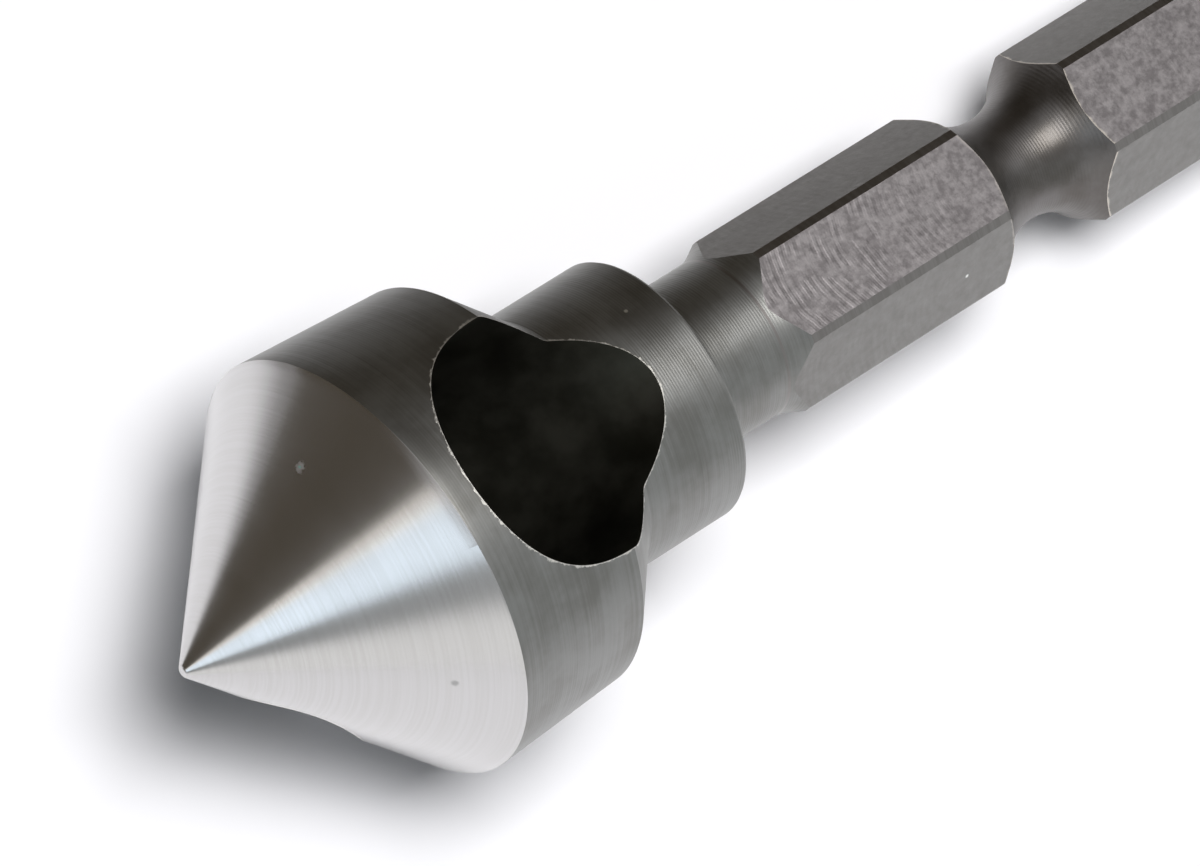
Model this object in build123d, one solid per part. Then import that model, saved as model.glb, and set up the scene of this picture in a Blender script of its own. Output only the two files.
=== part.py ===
from build123d import *
import os
from math import atan, atan2, cos, degrees, radians, sin, sqrt, tan

# Cross-hole countersink bit, one piece of hardened steel, in millimetres.
# The tool is turned from bar, its drive hexagon is milled on a round blank,
# and one slanting hole through the head makes both the cutting edge and the chip space.
# While it is made, the tool axis is +X, with the point at X = 0 and the shank end at +X.

# Head: a cone with no flutes on a short body that tapers back from the cutting rim. The cone is ground
# about a line beside the tool's axis, so it falls away behind the cutting edge. The side it leans to is
# counted from the hole's outlet, round towards +Y.
head_diameter = 16.5
point_angle = 90.0
point_offset = 0.32
point_offset_side = 67.6
tip_flat_diameter = 0.42
body_length = 5.81
body_back_taper = 3.3
shoulder_angle = 45.0

# Collar behind the head
collar_diameter = 10.25
collar_length = 4.65
collar_edge_break = 0.15

# Neck between the collar and the drive hexagon
neck_diameter = 6.3
neck_length = 4.85
neck_root_radius = 1.2
neck_end_radius = 1.7

# Quarter-inch drive shank: flats milled on a round blank, with the groove that locks the bit in its holder
overall_length = 50.5
hex_across_flats = 6.35
hex_blank_diameter = 7.14
groove_waist_diameter = 4.2
groove_radius = 3.1
groove_centre_to_end = 12.1
end_chamfer = 0.8

# Slanting hole: it leaves the cone on one side and comes out across body, shoulder and collar on the other
bore_diameter = 9.53
bore_angle = 49.5
bore_crossing = 8.27

# The hole lies square to one flat. It takes most metal from that side, so the bit comes to rest on the
# opposite flat with the hole's large mouth straight up.
bore_roll = 90.0

# Radii and stations along the axis that follow from the sizes above
tip_radius = tip_flat_diameter / 2
head_radius = head_diameter / 2
collar_radius = collar_diameter / 2
neck_radius = neck_diameter / 2
blank_radius = hex_blank_diameter / 2
flat_height = hex_across_flats / 2
cone_length = (head_radius - tip_radius) / tan(radians(point_angle / 2))
body_end = cone_length + body_length
body_rear_radius = head_radius - body_length * tan(radians(body_back_taper))
blank_front_radius = head_radius + cone_length * tan(radians(body_back_taper))
shoulder_end = body_end + (body_rear_radius - collar_radius) / tan(radians(shoulder_angle))
collar_end = shoulder_end + collar_length
neck_end = collar_end + neck_length
groove_centre = overall_length - groove_centre_to_end

# A round root joins the collar's rear face to the neck, and a larger curve leads from the neck up to the
# blank. Both are parts of circles that touch the neck at a tangent.
neck_root_centre = (collar_end + neck_root_radius, neck_radius + neck_root_radius)
neck_rise = blank_radius - neck_radius
neck_curve_run = sqrt(2 * neck_end_radius * neck_rise - neck_rise**2)
neck_curve_start = neck_end - neck_curve_run
neck_curve_turn = degrees(atan2(neck_curve_run, neck_end_radius - neck_rise))
neck_curve_centre = (neck_curve_start, neck_radius + neck_end_radius)

# Half the width of the groove where its circle meets the round blank
groove_depth = blank_radius - groove_waist_diameter / 2
groove_half_width = sqrt(2 * groove_radius * groove_depth - groove_depth**2)
groove_front = groove_centre - groove_half_width
groove_rear = groove_centre + groove_half_width

# Turned blank: half the section, from the front face to the shank end, spun about the axis
with BuildPart() as bit:
    with BuildSketch(Plane.XY):
        with BuildLine():
            Line((0, 0), (0, blank_front_radius))
            Line((0, blank_front_radius), (body_end, body_rear_radius))
            Line((body_end, body_rear_radius), (shoulder_end, collar_radius))
            Line((shoulder_end, collar_radius), (collar_end - collar_edge_break, collar_radius))
            Line((collar_end - collar_edge_break, collar_radius), (collar_end, collar_radius - collar_edge_break))
            Line((collar_end, collar_radius - collar_edge_break), (collar_end, neck_radius + neck_root_radius))
            CenterArc(neck_root_centre, neck_root_radius, 180, 90)
            Line((collar_end + neck_root_radius, neck_radius), (neck_curve_start, neck_radius))
            CenterArc(neck_curve_centre, neck_end_radius, -90, neck_curve_turn)
            Line((neck_end, blank_radius), (groove_front, blank_radius))
            ThreePointArc(
                (groove_front, blank_radius),
                (groove_centre, groove_waist_diameter / 2),
                (groove_rear, blank_radius),
            )
            Line((groove_rear, blank_radius), (overall_length - end_chamfer, blank_radius))
            Line((overall_length - end_chamfer, blank_radius), (overall_length, blank_radius - end_chamfer))
            Line((overall_length, blank_radius - end_chamfer), (overall_length, 0))
            Line((overall_length, 0), (0, 0))
        make_face()
    revolve(axis=Axis.X)

    # Ground cone: everything outside one long cone comes off. The cone stands beside the axis, so its rim
    # reaches furthest forward on the side it leans to and lies furthest back on the opposite side.
    offset_turn = radians(bore_roll - point_offset_side)
    point_place = (0, point_offset * cos(offset_turn), point_offset * sin(offset_turn))
    cone_end_radius = tip_radius + overall_length * tan(radians(point_angle / 2))
    with BuildPart(Plane(origin=point_place, z_dir=(1, 0, 0)), mode=Mode.INTERSECT):
        Cone(
            tip_radius,
            cone_end_radius,
            overall_length,
            align=(Align.CENTER, Align.CENTER, Align.MIN),
        )

    # Drive hexagon: six flats milled from the shank end. They leave a narrow strip of the
    # round blank along each corner, and die out on the curve at the front.
    flat_run = overall_length - collar_end - neck_root_radius
    with BuildSketch(Plane.YZ.offset(overall_length - flat_run)):
        Circle(head_radius)
        RegularPolygon(radius=flat_height, side_count=6, major_radius=False, mode=Mode.SUBTRACT)
    extrude(amount=flat_run + 1, mode=Mode.SUBTRACT)

    # Slanting hole, square to the flat that the roll angle picks
    roll = radians(bore_roll)
    slope = radians(bore_angle)
    bore_direction = (cos(slope), sin(slope) * cos(roll), sin(slope) * sin(roll))
    bore_reach = 2 * (head_radius + bore_diameter)
    with BuildSketch(Plane(origin=(bore_crossing, 0, 0), z_dir=bore_direction)):
        Circle(bore_diameter / 2)
    extrude(amount=bore_reach, both=True, mode=Mode.SUBTRACT)

# At rest the bit lies on the edge of its head that hangs lowest and on the end of its lower flat,
# with the shank end down. The part's own frame has the origin under the middle of the lying bit and +Z up.
flat_end = overall_length - end_chamfer + blank_radius - flat_height
slope_on_rim = (head_radius - flat_height) / (flat_end - cone_length)
slope_on_rear_edge = (body_rear_radius - flat_height) / (flat_end - body_end)
rest_tilt = degrees(atan(max(slope_on_rim, slope_on_rear_edge)))
lying = bit.part.rotate(Axis.Y, rest_tilt)
lying_box = lying.bounding_box()
countersink_bit = Pos(-lying_box.center().X, -lying_box.center().Y, -lying_box.min.Z) * lying

os.makedirs("parts", exist_ok=True)
export_step(countersink_bit, "parts/countersink_bit.step")
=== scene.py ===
import bpy
import bmesh
from math import atan, cos, pi, radians, sin, sqrt, tan
from mathutils import Matrix, Vector


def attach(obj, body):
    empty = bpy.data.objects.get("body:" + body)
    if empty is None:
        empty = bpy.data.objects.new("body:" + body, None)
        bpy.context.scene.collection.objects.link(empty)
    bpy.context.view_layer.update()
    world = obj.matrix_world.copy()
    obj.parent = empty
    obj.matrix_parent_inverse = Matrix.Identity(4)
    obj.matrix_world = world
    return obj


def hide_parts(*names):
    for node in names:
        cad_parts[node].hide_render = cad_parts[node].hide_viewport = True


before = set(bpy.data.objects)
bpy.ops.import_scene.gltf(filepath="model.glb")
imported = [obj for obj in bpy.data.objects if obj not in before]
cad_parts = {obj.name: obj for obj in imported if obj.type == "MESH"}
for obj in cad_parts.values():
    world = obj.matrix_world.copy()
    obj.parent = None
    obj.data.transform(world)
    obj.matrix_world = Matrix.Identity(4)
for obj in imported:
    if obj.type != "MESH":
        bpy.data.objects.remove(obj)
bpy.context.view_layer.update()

# Sizes of the bit in millimetres, along its own axis from the point (x) and out from it (r)
head_radius = 8.25
tip_radius = 0.21
cone_length = 8.04
body_length = 5.81
body_end = cone_length + body_length
back_taper = tan(radians(3.3))
body_rear_radius = head_radius - body_length * back_taper
point_offset = 0.32
point_offset_turn = radians(22.4)
point_shift = (0.0, point_offset * cos(point_offset_turn), point_offset * sin(point_offset_turn))
collar_radius = 5.125
shoulder_end = body_end + body_rear_radius - collar_radius
collar_end = shoulder_end + 4.65
collar_edge = 0.15
neck_radius = 3.15
root_radius = 1.2
blank_radius = 3.57
neck_end = collar_end + 4.85
neck_end_radius = 1.7
flat_height = 3.175
groove_centre = 38.4
groove_radius = 3.1
groove_waist_radius = 2.1
shank_end = 50.5
end_chamfer = 0.8
bore_radius = 4.765
bore_slope = radians(49.5)
bore_crossing = 8.27

# Marks of the tools, in millimetres
lathe_feed = 0.11
cutter_sweep = 4.2
cutter_feed = 0.31

# The lying bit: it dips towards the shank end, and rests on its head's rear edge and on the end
# of its lower flat
flat_end = shank_end - end_chamfer + blank_radius - flat_height
rest_tilt = atan((body_rear_radius - flat_height) / (flat_end - body_end))
lying_height = body_end * sin(rest_tilt) + body_rear_radius * cos(rest_tilt)
lying = (
    Matrix.Scale(0.001, 4)
    @ Matrix.Translation((-25.21082, -0.016, lying_height))
    @ Matrix.Rotation(rest_tilt, 4, "Y")
)
turn_only = lying.to_3x3()
axis_start = lying @ Vector((0.0, 0.0, 0.0))
axis_way = (turn_only @ Vector((1.0, 0.0, 0.0))).normalized()
top_way = turn_only.normalized().col[2].copy()
point_start = lying @ Vector(point_shift)
hole_middle = lying @ Vector((bore_crossing, 0.0, 0.0))
hole_way = (turn_only @ Vector((cos(bore_slope), 0.0, sin(bore_slope)))).normalized()


def add_camera():
    data = bpy.data.cameras.new("camera")
    data.sensor_fit = "HORIZONTAL"
    data.sensor_width = 36.0
    data.lens = 258.9881
    data.clip_start = 0.01
    data.clip_end = 10.0
    camera = bpy.data.objects.new("camera", data)
    bpy.context.scene.collection.objects.link(camera)
    camera.location = (-0.1162841, -0.0201189, 0.2884183)
    camera.rotation_euler = (0.2670861, -0.2693894, -0.6210026)
    bpy.context.scene.camera = camera


add_camera()


# ---------------------------------------------------------------- steel blank and its cuts

turned, cone_ground, flat_milled, bored, strip = range(5)


def wire_to(bm, last, x, r):
    corner = bm.verts.new((x, r, 0.0))
    bm.edges.new((last, corner))
    return corner


def wire_arc(bm, last, centre, angle, steps):
    made = bmesh.ops.spin(
        bm, geom=[last], cent=centre, axis=(0.0, 0.0, 1.0), angle=angle, steps=steps
    )
    ends = [g for g in made["geom_last"] if isinstance(g, bmesh.types.BMVert)]
    return ends[0]


def wire_run(bm, last, start, end, steps, radius_at):
    """Even steps along the axis, so that the spun faces stay near square."""
    for i in range(1, steps + 1):
        x = start + (end - start) * i / steps
        last = wire_to(bm, last, x, radius_at(x))
    return last


def body_radius_at(x):
    return head_radius + (cone_length - x) * back_taper


def half_section(bm):
    """The outline of the turned blank, from its front face to the shank end."""
    front, body_start = -0.5, 7.0
    v = bm.verts.new((front, body_radius_at(front), 0.0))
    v = wire_to(bm, v, body_start, body_radius_at(body_start))
    v = wire_run(bm, v, body_start, body_end - 0.04, 5, body_radius_at)
    # The body's rear edge is broken, and the corner of shoulder and collar is soft
    v = wire_to(bm, v, body_end + 0.03, body_rear_radius - 0.045)
    v = wire_to(bm, v, shoulder_end - 0.12, collar_radius + 0.12)
    v = wire_to(bm, v, shoulder_end - 0.03, collar_radius + 0.045)
    v = wire_to(bm, v, shoulder_end + 0.08, collar_radius)
    v = wire_run(bm, v, shoulder_end, collar_end - collar_edge, 4, lambda x: collar_radius)
    v = wire_to(bm, v, collar_end - 0.05, collar_radius - 0.06)
    v = wire_to(bm, v, collar_end, collar_radius - collar_edge)
    v = wire_to(bm, v, collar_end, neck_radius + root_radius)
    v = wire_arc(
        bm, v, (collar_end + root_radius, neck_radius + root_radius, 0.0), pi / 2, 10
    )
    rise = blank_radius - neck_radius
    run = sqrt(2 * neck_end_radius * rise - rise**2)
    v = wire_to(bm, v, neck_end - run, neck_radius)
    v = wire_arc(
        bm, v, (neck_end - run, neck_radius + neck_end_radius, 0.0),
        atan(run / (neck_end_radius - rise)), 10,
    )
    depth = blank_radius - groove_waist_radius
    half = sqrt(2 * groove_radius * depth - depth**2)
    v = wire_run(bm, v, neck_end, groove_centre - half, 8, lambda x: blank_radius)
    v = wire_arc(
        bm, v, (groove_centre, groove_waist_radius + groove_radius, 0.0),
        2 * atan(half / (groove_radius - depth)), 24,
    )
    v = wire_run(bm, v, groove_centre + half, shank_end - end_chamfer, 8, lambda x: blank_radius)
    wire_to(bm, v, shank_end, blank_radius - end_chamfer)


def mesh_object(name, bm, slots):
    mesh = bpy.data.meshes.new(name)
    bm.to_mesh(mesh)
    bm.free()
    for m in slots:
        mesh.materials.append(m)
    piece = bpy.data.objects.new(name, mesh)
    bpy.context.scene.collection.objects.link(piece)
    return piece


def spin_round(bm, seam):
    """A full turn about the axis, with the seam and the poles closed."""
    bmesh.ops.spin(
        bm, geom=bm.verts[:] + bm.edges[:], cent=(0, 0, 0), axis=(1, 0, 0),
        angle=2 * pi, steps=360, use_merge=True,
    )
    bmesh.ops.remove_doubles(bm, verts=bm.verts[:], dist=seam)


def turned_blank(slots):
    bm = bmesh.new()
    half_section(bm)
    spin_round(bm, 0.0005)
    bmesh.ops.holes_fill(bm, edges=[e for e in bm.edges if e.is_boundary], sides=0)
    bmesh.ops.recalc_face_normals(bm, faces=bm.faces[:])
    for f in bm.faces:
        # What is left of the round between the flats, outside the groove
        x = f.calc_center_median().x
        on_shank = x > neck_end - 1.2 and abs(x - groove_centre) > 2.6
        f.material_index = strip if on_shank and f.normal.x**2 < 0.01 else turned
    return mesh_object("steel_blank", bm, slots)


def cone_cutter(slots):
    """A funnel beside the axis: what lies inside it stays."""
    front, rear, outside, pole = -2.0, 11.0, 20.0, 0.0002
    bm = bmesh.new()
    v = bm.verts.new((front, pole, 0.0))
    v = wire_to(bm, v, front, outside)
    v = wire_to(bm, v, rear, outside)
    for x in [rear - 0.5 * i for i in range(22)] + [0.25, 0.1, 0.03]:
        v = wire_to(bm, v, x, x + tip_radius)
    v = wire_to(bm, v, 0.0, tip_radius - 0.02)
    wire_to(bm, v, 0.0, pole)
    spin_round(bm, 0.0008)
    bmesh.ops.translate(bm, verts=bm.verts[:], vec=point_shift)
    bmesh.ops.recalc_face_normals(bm, faces=bm.faces[:])
    for f in bm.faces:
        f.material_index = cone_ground
    return mesh_object("cone_cutter", bm, slots)


def soften_rim(piece):
    """A hair's breadth of rounding where the cone meets the body."""
    bm = bmesh.new()
    bm.from_mesh(piece.data)
    rim = [
        e for e in bm.edges
        if len(e.link_faces) == 2
        and {f.material_index for f in e.link_faces} == {turned, cone_ground}
    ]
    bmesh.ops.bevel(
        bm, geom=rim, offset=0.02, segments=2, profile=0.5, affect="EDGES", material=-1
    )
    bm.to_mesh(piece.data)
    bm.free()


def flats_cutter(slots):
    """A six-sided sleeve: what lies inside it stays."""
    bm = bmesh.new()
    bmesh.ops.create_circle(bm, segments=6, radius=flat_height / cos(radians(30)))
    bmesh.ops.create_circle(bm, segments=6, radius=12.0)
    bmesh.ops.bridge_loops(bm, edges=bm.edges[:])
    sleeve = bmesh.ops.extrude_face_region(bm, geom=bm.faces[:])
    far_end = [g for g in sleeve["geom"] if isinstance(g, bmesh.types.BMVert)]
    bmesh.ops.translate(bm, vec=(0, 0, 30.0), verts=far_end)
    bmesh.ops.recalc_face_normals(bm, faces=bm.faces[:])
    along_shank = (
        Matrix.Translation((collar_end + root_radius, 0, 0)) @ Matrix.Rotation(pi / 2, 4, "Y")
    )
    bmesh.ops.transform(bm, matrix=along_shank, verts=bm.verts[:])
    for f in bm.faces:
        f.material_index = flat_milled
    return mesh_object("flats_cutter", bm, slots)


def hole_cutter(slots):
    """The drill's path, slanting through the head."""
    bm = bmesh.new()
    bmesh.ops.create_cone(
        bm, cap_ends=True, segments=240, radius1=bore_radius, radius2=bore_radius, depth=60.0
    )
    for f in bm.faces:
        f.material_index = bored
    across_head = (
        Matrix.Translation((bore_crossing, 0, 0)) @ Matrix.Rotation(pi / 2 - bore_slope, 4, "Y")
    )
    bmesh.ops.transform(bm, matrix=across_head, verts=bm.verts[:])
    return mesh_object("hole_cutter", bm, slots)


def cut(piece, cutter):
    """Takes the cutter out of the piece; the new faces keep the cutter's finish."""
    step = piece.modifiers.new("cut", "BOOLEAN")
    step.operation = "DIFFERENCE"
    step.solver = "EXACT"
    step.object = cutter
    step.material_mode = "INDEX"
    bpy.context.view_layer.update()
    result = bpy.data.meshes.new_from_object(
        piece.evaluated_get(bpy.context.evaluated_depsgraph_get())
    )
    piece.modifiers.clear()
    piece.data = result
    bpy.data.objects.remove(cutter)


# ---------------------------------------------------------------- steel finishes

class Nodes:
    """The node tree of one finish, or of the world."""

    def __init__(self, name, world=None):
        self.material = world or bpy.data.materials.new(name)
        self.material.use_nodes = True
        self.tree = self.material.node_tree
        self.tree.nodes.clear()

    def add(self, kind, values=None, **settings):
        node = self.tree.nodes.new(kind)
        for key, value in settings.items():
            setattr(node, key, value)
        for key, value in (values or {}).items():
            if isinstance(value, bpy.types.NodeSocket):
                self.tree.links.new(value, node.inputs[key])
            else:
                node.inputs[key].default_value = value
        return node

    def math(self, operation, a, b=None):
        values = {0: a} if b is None else {0: a, 1: b}
        return self.add("ShaderNodeMath", values, operation=operation).outputs[0]

    def plus(self, a, b):
        return self.math("ADD", a, b)

    def minus(self, a, b):
        return self.math("SUBTRACT", a, b)

    def times(self, a, b):
        return self.math("MULTIPLY", a, b)

    def millimetres(self, metres):
        return self.times(metres, 1000.0)

    def vector(self, operation, a, b=None):
        values = {0: a} if b is None else {0: a, 1: b}
        return self.add("ShaderNodeVectorMath", values, operation=operation)

    def scaled(self, way, factor):
        values = {0: way, "Scale": factor}
        return self.add("ShaderNodeVectorMath", values, operation="SCALE").outputs[0]

    def ramp(self, source, low, high, out_low=0.0, out_high=1.0, smooth=True):
        values = {
            "Value": source, "From Min": low, "From Max": high,
            "To Min": out_low, "To Max": out_high,
        }
        node = self.add("ShaderNodeMapRange", values)
        if smooth:
            node.interpolation_type = "SMOOTHSTEP"
        return node.outputs[0]

    def mix(self, factor, a, b):
        node = self.add("ShaderNodeMix", data_type="RGBA")
        for key, value in ((0, factor), (6, a), (7, b)):
            if isinstance(value, bpy.types.NodeSocket):
                self.tree.links.new(value, node.inputs[key])
            else:
                node.inputs[key].default_value = value
        return node.outputs[2]

    def noise(self, vector, scale, detail=3.0, roughness=0.55):
        values = {"Vector": vector, "Scale": scale, "Detail": detail, "Roughness": roughness}
        return self.add("ShaderNodeTexNoise", values, noise_dimensions="3D").outputs[0]

    def join(self, kind, first, second, factor=None):
        """Adds two shaders, or mixes them by a factor."""
        node = self.add(kind)
        ends = (first.outputs[0], second.outputs[0])
        for source, socket in zip(ends if factor is None else (factor, *ends), node.inputs):
            self.tree.links.new(source, socket)
        return node

    def finish(self, shader, kind="ShaderNodeOutputMaterial"):
        out = self.add(kind)
        self.tree.links.new(shader.outputs[0], out.inputs["Surface"])
        return self.material


def about_axis(n, start):
    """Place, distances along the axis and from it, and the ways outward and down the surface."""
    place = n.add("ShaderNodeTexCoord").outputs["Object"]
    from_start = n.vector("SUBTRACT", place, tuple(start)).outputs[0]
    along = n.vector("DOT_PRODUCT", from_start, tuple(axis_way)).outputs["Value"]
    out = n.vector("SUBTRACT", from_start, n.scaled(tuple(axis_way), along)).outputs[0]
    radius = n.vector("LENGTH", out).outputs["Value"]
    out_way = n.vector("NORMALIZE", out).outputs[0]
    round_way = n.vector("CROSS_PRODUCT", tuple(axis_way), out_way).outputs[0]
    face = n.add("ShaderNodeNewGeometry").outputs["Normal"]
    down_way = n.vector("CROSS_PRODUCT", round_way, face).outputs[0]
    return place, along, radius, out_way, down_way


def rings(n, along, radius, out_way, fine, slow):
    """Rings left by the tool: quick along the outline, slow around it."""
    path = n.plus(along, n.times(radius, 0.7))
    ring = n.add("ShaderNodeCombineXYZ", {0: n.times(path, fine)})
    return n.vector("ADD", ring.outputs[0], n.scaled(out_way, slow)).outputs[0]


def from_hole_wall(n, place):
    """How far a point lies outside the slanting hole's wall, in millimetres."""
    from_hole = n.vector("SUBTRACT", place, tuple(hole_middle)).outputs[0]
    away = n.vector("CROSS_PRODUCT", from_hole, tuple(hole_way)).outputs[0]
    reach = n.vector("LENGTH", away).outputs["Value"]
    return n.minus(n.millimetres(reach), bore_radius)


def burr_and_glint(n, place, colour, rough, height):
    """The thin, uneven edge that the drill threw up round the hole: a real raised burr, with a
    painted highlight as its bright line.
    """
    wave = n.noise(place, 2600.0, 3.0, 0.7)
    width = n.ramp(wave, 0.35, 0.75, 0.015, 0.13)
    gap = n.math("DIVIDE", from_hole_wall(n, place), width)
    line = n.ramp(gap, 1.0, 0.45)
    grain = n.ramp(n.noise(place, 9000.0, 2.0, 0.5), 0.3, 0.7, 0.55, 1.0)
    line = n.times(line, grain)
    # The pale colour along the burr is a painted highlight
    colour = n.mix(line, colour, (0.84, 0.82, 0.77, 1))
    rough = n.plus(rough, n.times(line, 0.25))
    height = n.plus(height, n.times(line, 2.0))
    return colour, rough, height


def spot(n, place, colour, centre, size, tint, spread=0.35):
    """A speck at one place: a pit, a chip of metal or a grain of dust."""
    gap = n.vector("DISTANCE", place, centre).outputs["Value"]
    uneven = n.times(n.noise(place, 12000.0, 2.0, 0.6), size * spread)
    return n.mix(n.ramp(n.plus(gap, uneven), size * 1.15, size * 0.6), colour, tint)


def steel(n, colour, rough, bump, tangent=None, anisotropy=0.0):
    """Bare metal; with a tangent, its gleam is drawn out along that way."""
    values = {"Base Color": colour, "Metallic": 1.0, "Roughness": rough, "Normal": bump}
    shader = n.add("ShaderNodeBsdfPrincipled", values)
    if tangent is not None:
        shader.inputs["Anisotropic"].default_value = anisotropy
        n.tree.links.new(tangent, shader.inputs["Tangent"])
    return n.finish(shader)


# Places in metres where the bit lies, with each speck's radius
chips_on_turning = (
    ((-0.00967, 0.00437, 0.01270), 0.00011),
    ((-0.01037, -0.00421, 0.01151), 0.00012),
    ((-0.00848, -0.00343, 0.01174), 0.00016),
    ((-0.00504, 0.00240, 0.01157), 0.00010),
)


def turned_steel():
    n = Nodes("turned_steel")
    place, along, radius, out_way, down_way = about_axis(n, axis_start)
    station = n.millimetres(along)
    lines = n.noise(rings(n, along, radius, out_way, 7600.0, 0.9), 1.0, 3.0, 0.6)
    broad = n.noise(rings(n, along, radius, out_way, 1500.0, 0.5), 1.0, 2.0, 0.5)
    cloud = n.noise(place, 380.0, 4.0, 0.6)
    tone = n.plus(n.times(lines, 0.3), n.times(cloud, 0.7))
    colour = n.mix(n.ramp(tone, 0.34, 0.66), (0.215, 0.212, 0.198, 1), (0.310, 0.311, 0.301, 1))
    rough = n.ramp(cloud, 0.3, 0.7, 0.40, 0.46)
    # The groove is turned with a round tool; its colour is set darker than the rest of the
    # turning
    from_groove = n.math("ABSOLUTE", n.minus(station, groove_centre))
    groove = n.ramp(from_groove, 2.75, 2.6)
    darker_groove = n.mix(n.ramp(cloud, 0.3, 0.7), (0.13, 0.12, 0.11, 1), (0.21, 0.20, 0.195, 1))
    colour = n.mix(groove, colour, darker_groove)
    rough = n.minus(rough, n.times(groove, 0.02))
    height = n.plus(n.times(lines, 0.6), n.times(broad, 0.2))
    # The feed of the lathe shows as even rings on collar and neck
    path = n.plus(station, n.times(broad, 0.12))
    feed = n.math("SINE", n.times(path, 2 * pi / lathe_feed))
    where = n.ramp(station, shoulder_end - 0.1, shoulder_end + 0.3, 0.10, 0.27)
    height = n.plus(height, n.times(feed, where))
    colour, rough, height = burr_and_glint(n, place, colour, rough, height)
    # Chips of metal left at the hole's edge, and one grain of dust
    for centre, size in chips_on_turning:
        colour = spot(n, place, colour, centre, size, (0.78, 0.77, 0.73, 1))
    bump = n.add("ShaderNodeBump", {"Strength": 0.6, "Distance": 0.00001, "Height": height})
    return steel(n, colour, rough, bump.outputs[0], down_way, 0.58)


def ground_cone():
    n = Nodes("ground_cone")
    place, along, radius, out_way, down_way = about_axis(n, point_start)
    lines = n.noise(rings(n, along, radius, out_way, 9500.0, 0.7), 1.0, 3.0, 0.55)
    cloud = n.noise(place, 260.0, 3.0, 0.55)
    colour = n.mix(n.ramp(lines, 0.35, 0.65), (0.60, 0.59, 0.58, 1), (0.63, 0.62, 0.615, 1))
    rough = n.ramp(cloud, 0.3, 0.7, 0.20, 0.24)
    colour, rough, height = burr_and_glint(n, place, colour, rough, lines)
    # A bluish, dull fleck on one side and a small pit on the other
    fleck = (-0.01896, 0.00370, 0.01377)
    colour = spot(n, place, colour, fleck, 0.00026, (0.42, 0.85, 0.76, 1), 1.6)
    ragged = n.times(n.noise(place, 9000.0, 2.0, 0.6), 0.0004)
    near = n.plus(n.vector("DISTANCE", place, fleck).outputs["Value"], ragged)
    rough = n.plus(rough, n.ramp(near, 0.00042, 0.00024, 0.0, 0.38))
    pit = (-0.01830, -0.00524, 0.01265)
    colour = spot(n, place, colour, pit, 0.00022, (0.38, 0.38, 0.37, 1), 0.6)
    bump = n.add("ShaderNodeBump", {"Strength": 0.4, "Distance": 0.0000045, "Height": height})
    return steel(n, colour, rough, bump.outputs[0], down_way, 0.62)


def milled_flats():
    n = Nodes("milled_flats")
    place, along, radius, out_way, down_way = about_axis(n, axis_start)
    face = n.add("ShaderNodeNewGeometry").outputs["Normal"]
    side_way = n.vector("CROSS_PRODUCT", tuple(axis_way), face).outputs[0]
    from_start = n.vector("SUBTRACT", place, tuple(axis_start)).outputs[0]
    side = n.millimetres(n.vector("DOT_PRODUCT", from_start, side_way).outputs["Value"])
    # The cutter's sweep leaves arcs that bow towards the point
    sweep = n.math("SQRT", n.minus(cutter_sweep**2, n.times(side, side)))
    station = n.millimetres(along)
    uneven = n.times(n.noise(place, 600.0, 2.0, 0.5), 0.35)
    path = n.plus(n.plus(station, sweep), uneven)
    arcs = n.math("SINE", n.times(path, 2 * pi / cutter_feed))
    fine_arcs = n.math("SINE", n.times(path, 2 * pi / 0.11))
    broken = n.ramp(n.noise(place, 1100.0, 2.0, 0.5), 0.40, 0.60, 0.2, 1.3)
    fade = n.ramp(station, 36.0, 27.5, 0.15, 1.0)
    arcs = n.plus(arcs, n.times(fine_arcs, 0.3))
    arcs = n.times(n.times(arcs, broken), fade)
    # The flat on the hole's side is the roughest; the others are milled smoother
    facing_up = n.vector("DOT_PRODUCT", face, tuple(top_way)).outputs["Value"]
    top = n.ramp(facing_up, 0.8, 0.9, 0.35, 1.0)
    arcs = n.times(arcs, top)
    blotch = n.noise(place, 2100.0, 3.0, 0.65)
    fine = n.noise(place, 5200.0, 3.0, 0.6)
    tone = n.plus(n.times(blotch, 0.7), n.times(fine, 0.3))
    tone = n.plus(n.times(n.minus(tone, 0.5), top), 0.5)
    tone = n.plus(tone, n.times(arcs, 0.040))
    plain = n.mix(n.ramp(tone, 0.34, 0.66), (0.215, 0.208, 0.198, 1), (0.325, 0.318, 0.306, 1))
    # The flat facing up is painted lighter and rosier than the others: painted light from the
    # overhead lamp
    lit_rosy = n.mix(n.ramp(tone, 0.34, 0.66), (0.27, 0.25, 0.252, 1), (0.44, 0.412, 0.415, 1))
    colour = n.mix(n.ramp(top, 0.4, 0.9), plain, lit_rosy)
    # A wire edge stands where the flats run out into the groove; its bright line is a painted
    # highlight
    reach = n.minus(n.millimetres(radius), groove_waist_radius + groove_radius)
    away = n.minus(station, groove_centre)
    squares = n.plus(n.times(reach, reach), n.times(away, away))
    gap = n.minus(n.math("SQRT", squares), groove_radius)
    width = n.ramp(blotch, 0.35, 0.65, 0.02, 0.12)
    edge = n.times(n.ramp(gap, width, 0.0), n.ramp(away, 0.0, 0.5, 0.35, 0.9))
    colour = n.mix(edge, colour, (0.80, 0.74, 0.66, 1))
    dust = (0.00843, -0.00273, 0.00691)
    colour = spot(n, place, colour, dust, 0.00010, (0.80, 0.80, 0.78, 1))
    rough = n.ramp(fine, 0.3, 0.7, 0.42, 0.52)
    height = n.plus(n.times(blotch, 1.2), n.times(arcs, 0.22))
    bump = n.add("ShaderNodeBump", {"Strength": 0.5, "Distance": 0.00002, "Height": height})
    return steel(n, colour, rough, bump.outputs[0])


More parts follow.
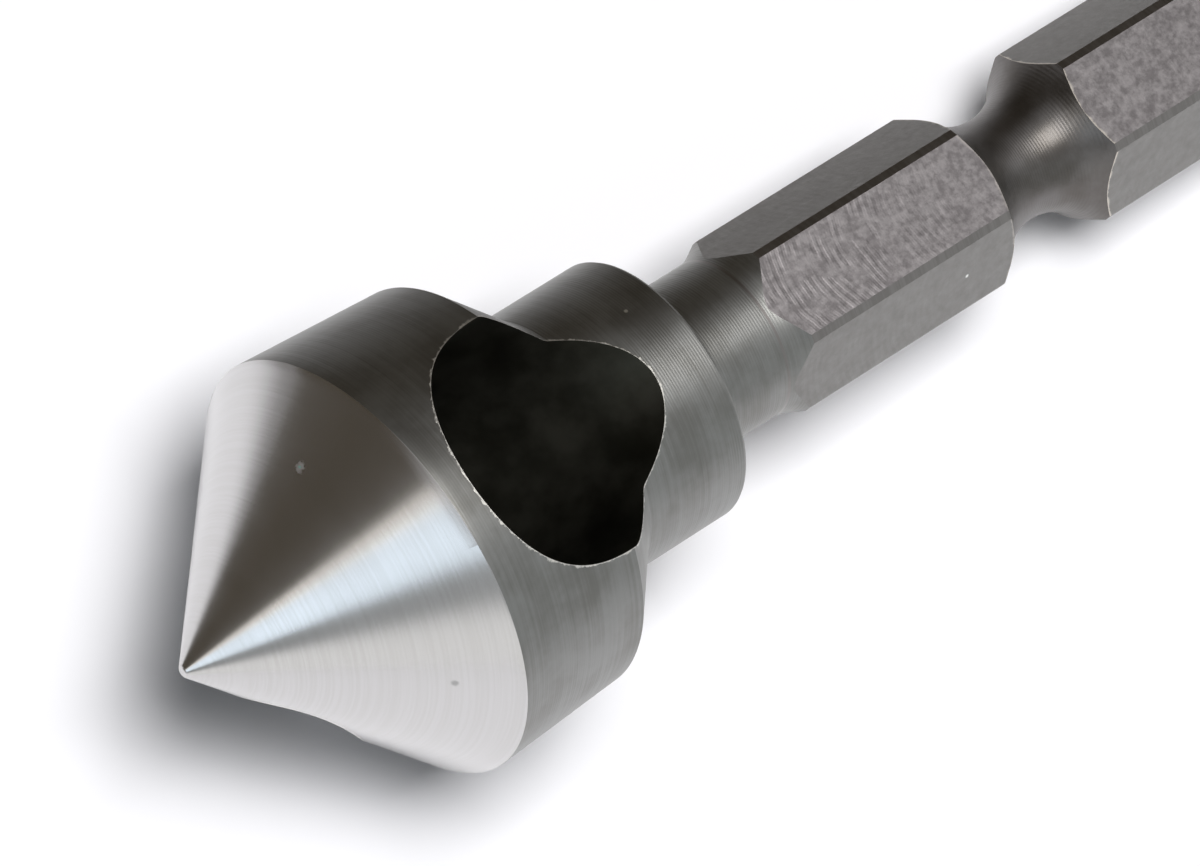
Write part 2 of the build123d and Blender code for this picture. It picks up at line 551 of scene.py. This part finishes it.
def shaded_bored_wall():
    n = Nodes("shaded_bored_wall")
    place = n.add("ShaderNodeTexCoord").outputs["Object"]
    cloud = n.noise(place, 500.0, 4.0, 0.6)
    # The wall is painted near-black: painted shade deep inside the hole
    colour = n.mix(n.ramp(cloud, 0.3, 0.7), (0.045, 0.044, 0.034, 1), (0.068, 0.066, 0.054, 1))
    bump = n.add("ShaderNodeBump", {"Strength": 0.3, "Distance": 0.00001, "Height": cloud})
    return steel(n, colour, n.ramp(cloud, 0.3, 0.7, 0.4, 0.5), bump.outputs[0])


def corner_strip():
    n = Nodes("corner_strip")
    place, along, radius, out_way, down_way = about_axis(n, axis_start)
    lines = n.noise(rings(n, along, radius, out_way, 7600.0, 0.9), 1.0, 3.0, 0.6)
    colour = n.mix(n.ramp(lines, 0.35, 0.65), (0.25, 0.235, 0.225, 1), (0.29, 0.275, 0.265, 1))
    bump = n.add("ShaderNodeBump", {"Strength": 0.2, "Distance": 0.00001, "Height": lines})
    return steel(n, colour, n.ramp(lines, 0.3, 0.7, 0.34, 0.42), bump.outputs[0], down_way, 0.5)


def finish_piece(piece):
    """Close points merged, soft shading, crisp edges, and the place where the bit lies."""
    bm = bmesh.new()
    bm.from_mesh(piece.data)
    bmesh.ops.remove_doubles(bm, verts=bm.verts[:], dist=0.0004)
    bmesh.ops.dissolve_degenerate(bm, edges=bm.edges[:], dist=0.0002)
    for f in bm.faces:
        f.smooth = True
    for e in bm.edges:
        if len(e.link_faces) == 2:
            one, two = e.link_faces
            other_cut = one.material_index != two.material_index
            e.smooth = e.calc_face_angle(0.0) <= radians(4 if other_cut else 14)
    bmesh.ops.transform(bm, matrix=lying, verts=bm.verts[:])
    bm.to_mesh(piece.data)
    bm.free()


slots = [turned_steel(), ground_cone(), milled_flats(), shaded_bored_wall(), corner_strip()]
bit = turned_blank(slots)
cut(bit, cone_cutter(slots))
soften_rim(bit)
cut(bit, flats_cutter(slots))
cut(bit, hole_cutter(slots))
finish_piece(bit)
bit.name = "bit"
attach(bit, "root")
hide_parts("countersink_bit")


# ---------------------------------------------------------------- floor and light

def add_floor():
    """Pale paper. The lens and the steel see a faint glow in it."""
    bm = bmesh.new()
    bmesh.ops.create_grid(bm, x_segments=1, y_segments=1, size=1.0)
    bmesh.ops.scale(bm, verts=bm.verts[:], vec=(0.11, 0.09, 1.0))
    bmesh.ops.translate(bm, verts=bm.verts[:], vec=(0.0, -0.035, 0.0))
    floor = mesh_object("floor", bm, [])
    n = Nodes("pale_floor")
    paper = n.add("ShaderNodeBsdfDiffuse", {"Color": (0.90, 0.90, 0.935, 1)})
    glow = n.add("ShaderNodeEmission", {"Color": (1, 1, 1, 1), "Strength": 0.03})
    seen = n.add("ShaderNodeLightPath")
    looked_at = n.math("MAXIMUM", seen.outputs["Is Camera Ray"], seen.outputs["Is Glossy Ray"])
    lit = n.join("ShaderNodeAddShader", paper, glow)
    open_floor = n.join("ShaderNodeMixShader", paper, lit, looked_at)
    # For glossy rays only, the floor is painted dim towards the +Y side: painted shade that the
    # steel sees in its reflection
    place = n.add("ShaderNodeTexCoord").outputs["Object"]
    x, y = n.add("ShaderNodeSeparateXYZ", {"Vector": place}).outputs[:2]
    toward_dark_side = n.plus(y, n.times(n.math("MINIMUM", x, 0.006), 0.45))
    dim = n.ramp(toward_dark_side, 0.0070, 0.0225, 0.0, 0.80)
    dim = n.times(dim, seen.outputs["Is Glossy Ray"])
    painted_dark_reflection = n.add("ShaderNodeEmission", {"Color": (0.10, 0.09, 0.08, 1), "Strength": 1.0})
    floor.data.materials.append(
        n.finish(n.join("ShaderNodeMixShader", open_floor, painted_dark_reflection, dim))
    )


head_middle = Vector((-0.008, 0.0, 0.008))


def area_lamp(name, azimuth, elevation, distance, size, power, colour):
    """A soft rectangle of light, turned to the head; its angles are in degrees."""
    azimuth, elevation = radians(azimuth), radians(elevation)
    data = bpy.data.lights.new(name, "AREA")
    data.shape = "RECTANGLE"
    data.size, data.size_y = size
    data.energy = power
    data.color = colour
    lamp = bpy.data.objects.new(name, data)
    way = Vector((cos(elevation) * cos(azimuth), cos(elevation) * sin(azimuth), sin(elevation)))
    lamp.location = head_middle + way * distance
    lamp.rotation_euler = way.to_track_quat("Z", "Y").to_euler()
    bpy.context.scene.collection.objects.link(lamp)
    return lamp


def add_world():
    """The room that the steel reflects: dark on the +Y side, pale on the other, and a window."""
    world = bpy.data.worlds.new("studio")
    bpy.context.scene.world = world
    n = Nodes("studio", world)
    way = n.add("ShaderNodeTexCoord").outputs["Generated"]
    x, y, z = n.add("ShaderNodeSeparateXYZ", {"Vector": way}).outputs[:3]
    side = n.ramp(y, 0.20, -0.20)
    front = n.ramp(x, -0.3, -0.75)
    lighter = n.mix(front, (0.58, 0.60, 0.605, 1), (0.36, 0.375, 0.38, 1))
    room = n.mix(side, (0.085, 0.072, 0.055, 1), lighter)
    ceiling = n.ramp(z, 0.60, 0.85)
    room = n.mix(ceiling, room, (0.50, 0.50, 0.51, 1))
    toward = n.vector("DOT_PRODUCT", way, (-0.62, -0.78, -0.05)).outputs["Value"]
    room = n.mix(n.ramp(toward, 0.87, 0.96), room, (1.0, 1.0, 1.0, 1))
    seen = n.add("ShaderNodeLightPath")
    colour = n.mix(seen.outputs["Is Camera Ray"], room, (1, 1, 1, 1))
    # The walls hardly fill the shadow
    strength = n.ramp(seen.outputs["Is Diffuse Ray"], 0.0, 1.0, 1.0, 0.12, smooth=False)
    back = n.add("ShaderNodeBackground", {"Color": colour, "Strength": strength})
    n.finish(back, "ShaderNodeOutputWorld")


add_floor()
add_world()
area_lamp("overhead_softbox", 0, 90, 0.50, (0.24, 0.24), 1.35, (1.0, 0.99, 0.98))
fill = area_lamp("overhead_fill", 0, 90, 0.51, (0.25, 0.22), 1.47, (1.0, 0.995, 0.98))
fill.visible_glossy = False
area_lamp("window", -167, 32, 0.45, (0.17, 0.16), 0.118, (0.74, 0.87, 1.0))
area_lamp("window_edge", 176.5, 34, 0.45, (0.06, 0.16), 0.030, (1.0, 0.95, 0.88))
bpy.context.scene.view_settings.view_transform = "Standard"
